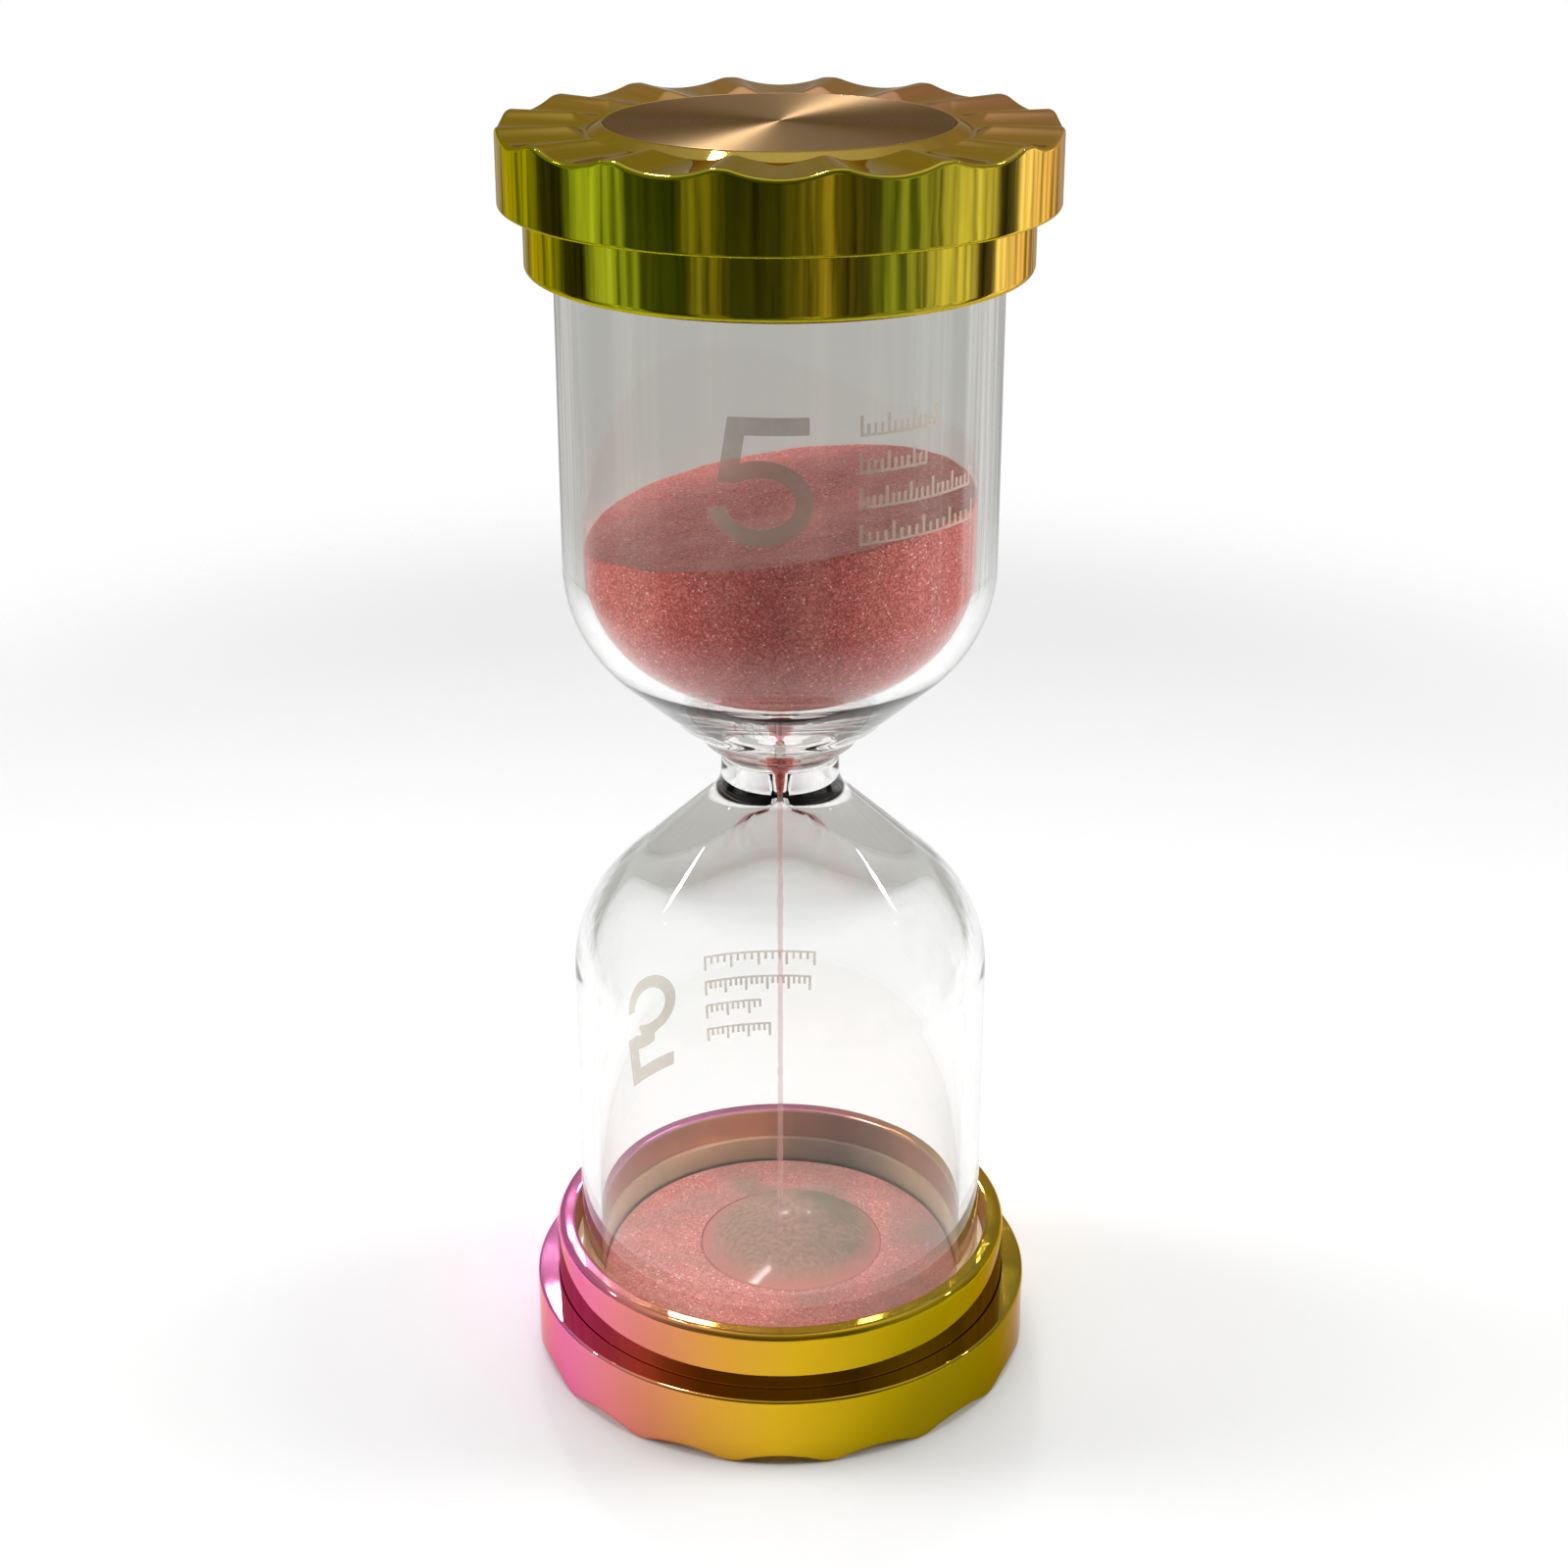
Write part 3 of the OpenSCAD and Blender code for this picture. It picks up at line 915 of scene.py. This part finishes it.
def numeral_outline():
    """A plain numeral five, 7 mm wide and 9 mm high, drawn anticlockwise from its lower left."""
    def bowl(a, b, start, end, n):
        return [(3.65 + a * math.cos(math.radians(start + (end - start) * i / n)),
                 2.95 + b * math.sin(math.radians(start + (end - start) * i / n))) for i in range(n + 1)]
    outer = bowl(3.65, 3.05, 112, -172, 48)
    inner = bowl(2.4, 1.85, -172, 128, 40)
    points = [(1.45, 9.0), (7.0, 9.0), (7.0, 7.75), (2.6, 7.75)] + outer + inner + [(0.7, 4.41)]
    return [(x * MM, z * MM) for x, z in points]


def bar(x, z, width, height):
    """Outline of an upright rectangle, from millimetres."""
    corners = [(x, z), (x + width, z), (x + width, z + height), (x, z + height)]
    return [(cx * MM, cz * MM) for cx, cz in corners]


def scale_outlines():
    """Four plain graduated rows beside the numeral: a thin line with ticks, every fourth one long."""
    rows = [(7.4, 1.5, 6.3, 12), (4.8, 1.5, 5.4, 10), (2.3, 1.5, 10.0, 20), (-0.3, 1.5, 10.4, 16)]
    line, tick = 0.2, 0.24
    bars = []
    for z, height, length, count in rows:
        bars.append(bar(0, z, length, line))
        for k in range(count + 1):
            tall = height if k % 4 == 0 else height * 0.6
            bars.append(bar(k * (length - tick) / count, z + line, tick, tall - line))
    return bars


def in_fixed_order(bm):
    """Points and triangles sorted, because the cutting leaves them in an order that changes each run."""
    corners = sorted(bm.verts, key=lambda v: tuple(v.co))
    index = {v: i for i, v in enumerate(corners)}
    loops = [[index[corner.vert] for corner in triangle] for triangle in bm.calc_loop_triangles()]
    starts = [loop.index(min(loop)) for loop in loops]
    return [v.co[:] for v in corners], sorted(loop[at:] + loop[:at] for loop, at in zip(loops, starts))


def wrapped_print(name, outlines, start_angle, material, lower):
    """Flat outlines cut into narrow strips, thickened and bent round the glass."""
    bm = bmesh.new()
    for points in outlines:
        bm.faces.new([bm.verts.new((x, 0.0, z)) for x, z in points])
    width = max(x for points in outlines for x, z in points)
    strip = 0.4 * MM
    for k in range(1, int(width / strip) + 1):
        geometry = bm.verts[:] + bm.edges[:] + bm.faces[:]
        bmesh.ops.bisect_plane(bm, geom=geometry, plane_co=(k * strip, 0, 0), plane_no=(1, 0, 0))
    bmesh.ops.triangulate(bm, faces=bm.faces)
    front = bm.faces[:]
    made = bmesh.ops.extrude_face_region(bm, geom=front)
    raised = [v for v in made["geom"] if isinstance(v, bmesh.types.BMVert)]
    for v in raised:
        v.co.y = PRINT_T
    radius = GLASS_R + 0.004 * MM
    for v in bm.verts:
        a = math.radians(start_angle) + v.co.x / GLASS_R
        r = radius + v.co.y
        v.co = Vector((r * math.sin(a), -r * math.cos(a), PRINT_BASE_Z + v.co.z))
    if lower:
        turn = Matrix.Rotation(LOWER_PRINT_TURN, 4, "Z") @ Matrix.Rotation(math.pi, 4, "X")
        bmesh.ops.transform(bm, matrix=turn, verts=bm.verts)
        bmesh.ops.translate(bm, vec=(0, 0, TOTAL_H), verts=bm.verts)
    bmesh.ops.recalc_face_normals(bm, faces=bm.faces)
    points, triangles = in_fixed_order(bm)
    bm.free()
    mesh = bpy.data.meshes.new(name)
    mesh.from_pydata(points, [], triangles)
    mesh.materials.append(material)
    piece = bpy.data.objects.new(name, mesh)
    bpy.context.scene.collection.objects.link(piece)
    return settle(piece, "print_ink")


def prints(material):
    """The same print on both bulbs, upside down on the lower one, so that it reads when turned."""
    for lower in (False, True):
        end = "lower" if lower else "upper"
        wrapped_print(f"print_numeral_{end}", [numeral_outline()], NUMERAL_AT, material, lower)
        wrapped_print(f"print_scale_{end}", scale_outlines(), SCALE_AT, material, lower)


# ---------------------------------------------------------------- studio

CAMERA_PLACE = (0.3 * MM, -188.9 * MM, 129.6 * MM)
CAMERA_LOOKS_DOWN = 21.6
CAMERA_LENS, CAMERA_SHIFT = 61.2, -0.05


def camera():
    """Close view from the front and above, as the photograph has it."""
    data = bpy.data.cameras.new("camera")
    data.lens = CAMERA_LENS
    data.sensor_width = 36
    data.shift_y = CAMERA_SHIFT
    data.clip_start = 0.01
    obj = bpy.data.objects.new("camera", data)
    obj.location = CAMERA_PLACE
    obj.rotation_euler = (math.radians(90 - CAMERA_LOOKS_DOWN), 0, 0)
    bpy.context.scene.collection.objects.link(obj)
    bpy.context.scene.camera = obj


def area_light(name, place, width, height, watts, shines, aim=0.5, spread=180):
    """A soft box aimed at a share of the timer's height. One that shines is only seen mirrored in smooth
    things; the others only light what is matt. A small spread keeps it out of the rest of the timer."""
    data = bpy.data.lights.new(name, "AREA")
    data.shape = "RECTANGLE"
    data.size, data.size_y = width, height
    data.energy = watts
    obj = bpy.data.objects.new(name, data)
    obj.location = place
    target = Vector((0, 0, TOTAL_H * aim))
    obj.rotation_euler = (target - Vector(place)).to_track_quat("-Z", "Y").to_euler()
    data.spread = math.radians(spread)
    obj.visible_glossy = shines
    obj.visible_transmission = shines
    obj.visible_diffuse = not shines
    bpy.context.scene.collection.objects.link(obj)


def lights():
    """Small lamps that glint in the plating and glass, and large matt ones above and at the sides."""
    area_light("key", (-0.14, 0.20, 0.55), 0.10, 0.04, 1.6, True)
    area_light("window_left", (-0.046, 0.42, 0.309), 0.028, 0.02, 0.007, True, 0.1, 9)
    area_light("window_right", (0.044, 0.42, 0.309), 0.012, 0.02, 0.002, True, 0.1, 12)
    area_light("glint_left", (-0.36, 0.10, 0.35), 0.02, 0.012, 0.0015, True, 0.3, 14)
    area_light("glint_right", (0.36, 0.10, 0.35), 0.02, 0.012, 0.0015, True, 0.3, 14)
    area_light("overhead", (0.0, 0.08, 0.85), 0.6, 0.6, 4.3, False)
    area_light("side_left", (-0.45, 0.06, 0.14), 0.25, 0.20, 0.26, False, 0.62, 50)
    area_light("side_right", (0.45, 0.06, 0.14), 0.25, 0.20, 0.24, False, 0.62, 50)


# How bright the room is round the object, as (degrees from the camera's side towards +X, level,
# warmth): pale panels with dark gaps between them, which show as upright stripes on the plated walls.
ROOM = [(-180, 0.40, 0), (-142, 0.75, 0), (-118, 0.60, 0), (-110, 0.06, 0), (-97, 0.06, 0), (-92, 0.5, -0.3),
        (-80, 0.95, -0.3), (-66, 0.55, -0.4), (-61, 0.12, -0.4), (-42, 0.06, -0.6), (-38, 0.36, 0.4),
        (-26, 0.36, 0.6), (-21, 0.08, 0), (0, 0.11, 0), (6, 0.30, 0.5), (20, 0.70, 0.7), (26, 0.14, 0.6),
        (40, 0.10, 0), (46, 0.52, -0.5), (62, 0.50, -0.3), (72, 0.85, 0), (93, 1.05, 0), (98, 0.10, 0),
        (107, 0.10, 0), (112, 1.45, 0), (130, 1.40, 0), (150, 0.65, 0), (180, 0.40, 0)]


def room_colour(level, warmth):
    """Warmth above 0 is orange, below 0 is green."""
    return (level * (1 + 0.3 * warmth), level * (1 - 0.1 * warmth), level * (1 - 0.5 * abs(warmth)))


def world():
    """Soft pale studio. What the camera sees directly is plain white, and what it sees through the
    glass is an even grey. What shines in the plating is a room with pale panels, a dim horizon and a
    bright ceiling. Matt things are lit more from the back and the sides than from the front."""
    made = bpy.data.worlds.new("studio")
    made.use_nodes = True
    n = Nodes(made.node_tree)
    out = n.add("ShaderNodeOutputWorld")
    direction = n.add("ShaderNodeSeparateXYZ")
    n.link(n.add("ShaderNodeTexCoord").outputs["Generated"], direction.inputs[0])
    x, y, z = direction.outputs
    turn = n.math("ARCTAN2", x, n.math("MULTIPLY", y, -1))
    around = n.math("MULTIPLY_ADD", turn, 0.5 / math.pi, 0.5)
    climb = n.math("MULTIPLY_ADD", n.math("ARCSINE", z), 1 / math.pi, 0.5)
    stops = [((at + 180) / 360, room_colour(level, warmth)) for at, level, warmth in ROOM]
    panels = n.ramp(around, stops)
    streaks = n.add("ShaderNodeCombineXYZ")
    n.link(n.math("MULTIPLY", around, 90), streaks.inputs[0])
    n.link(n.math("MULTIPLY", climb, 20), streaks.inputs[1])
    uneven = n.noise(streaks.outputs[0], 1.0, 3)
    uneven = n.ramp(uneven, [(0.32, grey(0.35)), (0.5, grey(1.0)), (0.68, grey(1.5))])
    panels = n.mix(1.0, panels, uneven, "MULTIPLY")
    overhead = n.ramp(climb, [(0.0, grey(0.20)), (0.40, grey(0.30)), (0.5, grey(0.34)), (0.70, grey(0.44)),
                              (0.80, grey(0.80)), (0.90, grey(1.2)), (1.0, grey(1.3))])
    share = n.ramp(climb, [(0.20, grey(0.0)), (0.34, grey(1.0)), (0.49, grey(1.0)), (0.53, grey(0.1))])
    toward = n.dot(n.add("ShaderNodeTexCoord").outputs["Generated"], (0.0, -0.82, 0.57))
    dimmed = n.ramp(toward, [(0.55, grey(1.0)), (0.85, grey(0.35))])
    room = n.add("ShaderNodeBackground")
    n.link(n.mix(1.0, n.mix(share, overhead, panels), dimmed, "MULTIPLY"), room.inputs["Color"])
    back = n.math("MULTIPLY_ADD", y, 0.5, 0.5)
    soft = n.add("ShaderNodeBackground")
    back = n.ramp(back, [(0.0, grey(0.03)), (0.25, grey(0.09)), (0.5, grey(0.27)), (0.8, grey(0.34))])
    n.link(back, soft.inputs["Color"])
    pale = n.add("ShaderNodeBackground")
    pale.inputs["Color"].default_value = (1.0, 1.0, 1.0, 1.0)
    even = n.add("ShaderNodeBackground")
    even.inputs["Color"].default_value = (0.50, 0.49, 0.46, 1.0)
    path = n.add("ShaderNodeLightPath")
    through = n.add("ShaderNodeMixShader")
    n.link(path.outputs["Is Transmission Ray"], through.inputs[0])
    n.link(room.outputs[0], through.inputs[1])
    n.link(even.outputs[0], through.inputs[2])
    lit = n.add("ShaderNodeMixShader")
    n.link(path.outputs["Is Diffuse Ray"], lit.inputs[0])
    n.link(through.outputs[0], lit.inputs[1])
    n.link(soft.outputs[0], lit.inputs[2])
    both = n.add("ShaderNodeMixShader")
    n.link(path.outputs["Is Camera Ray"], both.inputs[0])
    n.link(lit.outputs[0], both.inputs[1])
    n.link(pale.outputs[0], both.inputs[2])
    n.link(both.outputs[0], out.inputs["Surface"])
    bpy.context.scene.world = made


FLOOR_BACK = 70 * MM
FLOOR_R = 220 * MM


def floor():
    """Plain pale round table top whose edge fades into the pale background. It is open under the
    timer, where only a look from below would notice it."""
    material, n, surface, place = new_material("pale_floor")
    shade = n.ramp(n.noise(place, 3, 2), [(0.3, (0.9, 0.9, 0.9, 1.0)), (0.7, (0.93, 0.93, 0.93, 1.0))])
    n.link(shade, surface.inputs["Base Color"])
    surface.inputs["Roughness"].default_value = 0.7
    reach = n.add("ShaderNodeVectorMath", operation="LENGTH")
    n.link(place, reach.inputs[0])
    reach = n.math("DIVIDE", reach.outputs["Value"], FLOOR_R)
    fade = n.ramp(reach, [(0.40, grey(1.0)), (0.85, grey(0.0))], "EASE")
    above = n.math("SUBTRACT", 1, n.add("ShaderNodeNewGeometry").outputs["Backfacing"])
    apart = n.add("ShaderNodeVectorMath", operation="DISTANCE")
    n.link(place, apart.inputs[0])
    apart.inputs[1].default_value = (0.0, -FLOOR_BACK, 0.0)
    open_ground = n.math("GREATER_THAN", apart.outputs["Value"], CAP_R - 2 * MM)
    n.link(n.math("MULTIPLY", n.math("MULTIPLY", fade, above), open_ground), surface.inputs["Alpha"])
    outline = [(0.0, 0.0), (FLOOR_R, 0.0)]
    obj = lathe("floor", outline, material, segments=128, closed=False)
    obj.location = (0.0, FLOOR_BACK, -0.02 * MM)
    if obj.data.polygons[0].normal.z < 0:
        obj.data.flip_normals()


# ---------------------------------------------------------------- build

camera()
world()
lights()
floor()

top_plating, bottom_plating = plated_top(), plated_bottom()
disc_metal, sand, ink = brushed_disc(), pink_sand(), print_ink()
cap_piece(True, top_plating)
cap_piece(False, bottom_plating)
collar_piece(True, top_plating)
collar_piece(False, bottom_plating)
disc_piece(True, disc_metal)
disc_piece(False, disc_metal)
glass_piece(clear_glass())
sand_upper_piece(sand)
sand_lower_piece(thin_sand())
dust_piece(dust_film())
stream_piece(falling_sand())
prints(ink)

for nodes, material in ((("bottom_cushion", "top_cushion"), foam()),
                        (("bottom_glue_ring", "top_glue_ring"), cured_glue()),
                        (("fill_stopper",), silicone())):
    for node in nodes:
        mesh = frame["nodes"][node].data
        mesh.materials.clear()
        mesh.materials.append(material)

bpy.context.scene.view_settings.view_transform = "Standard"
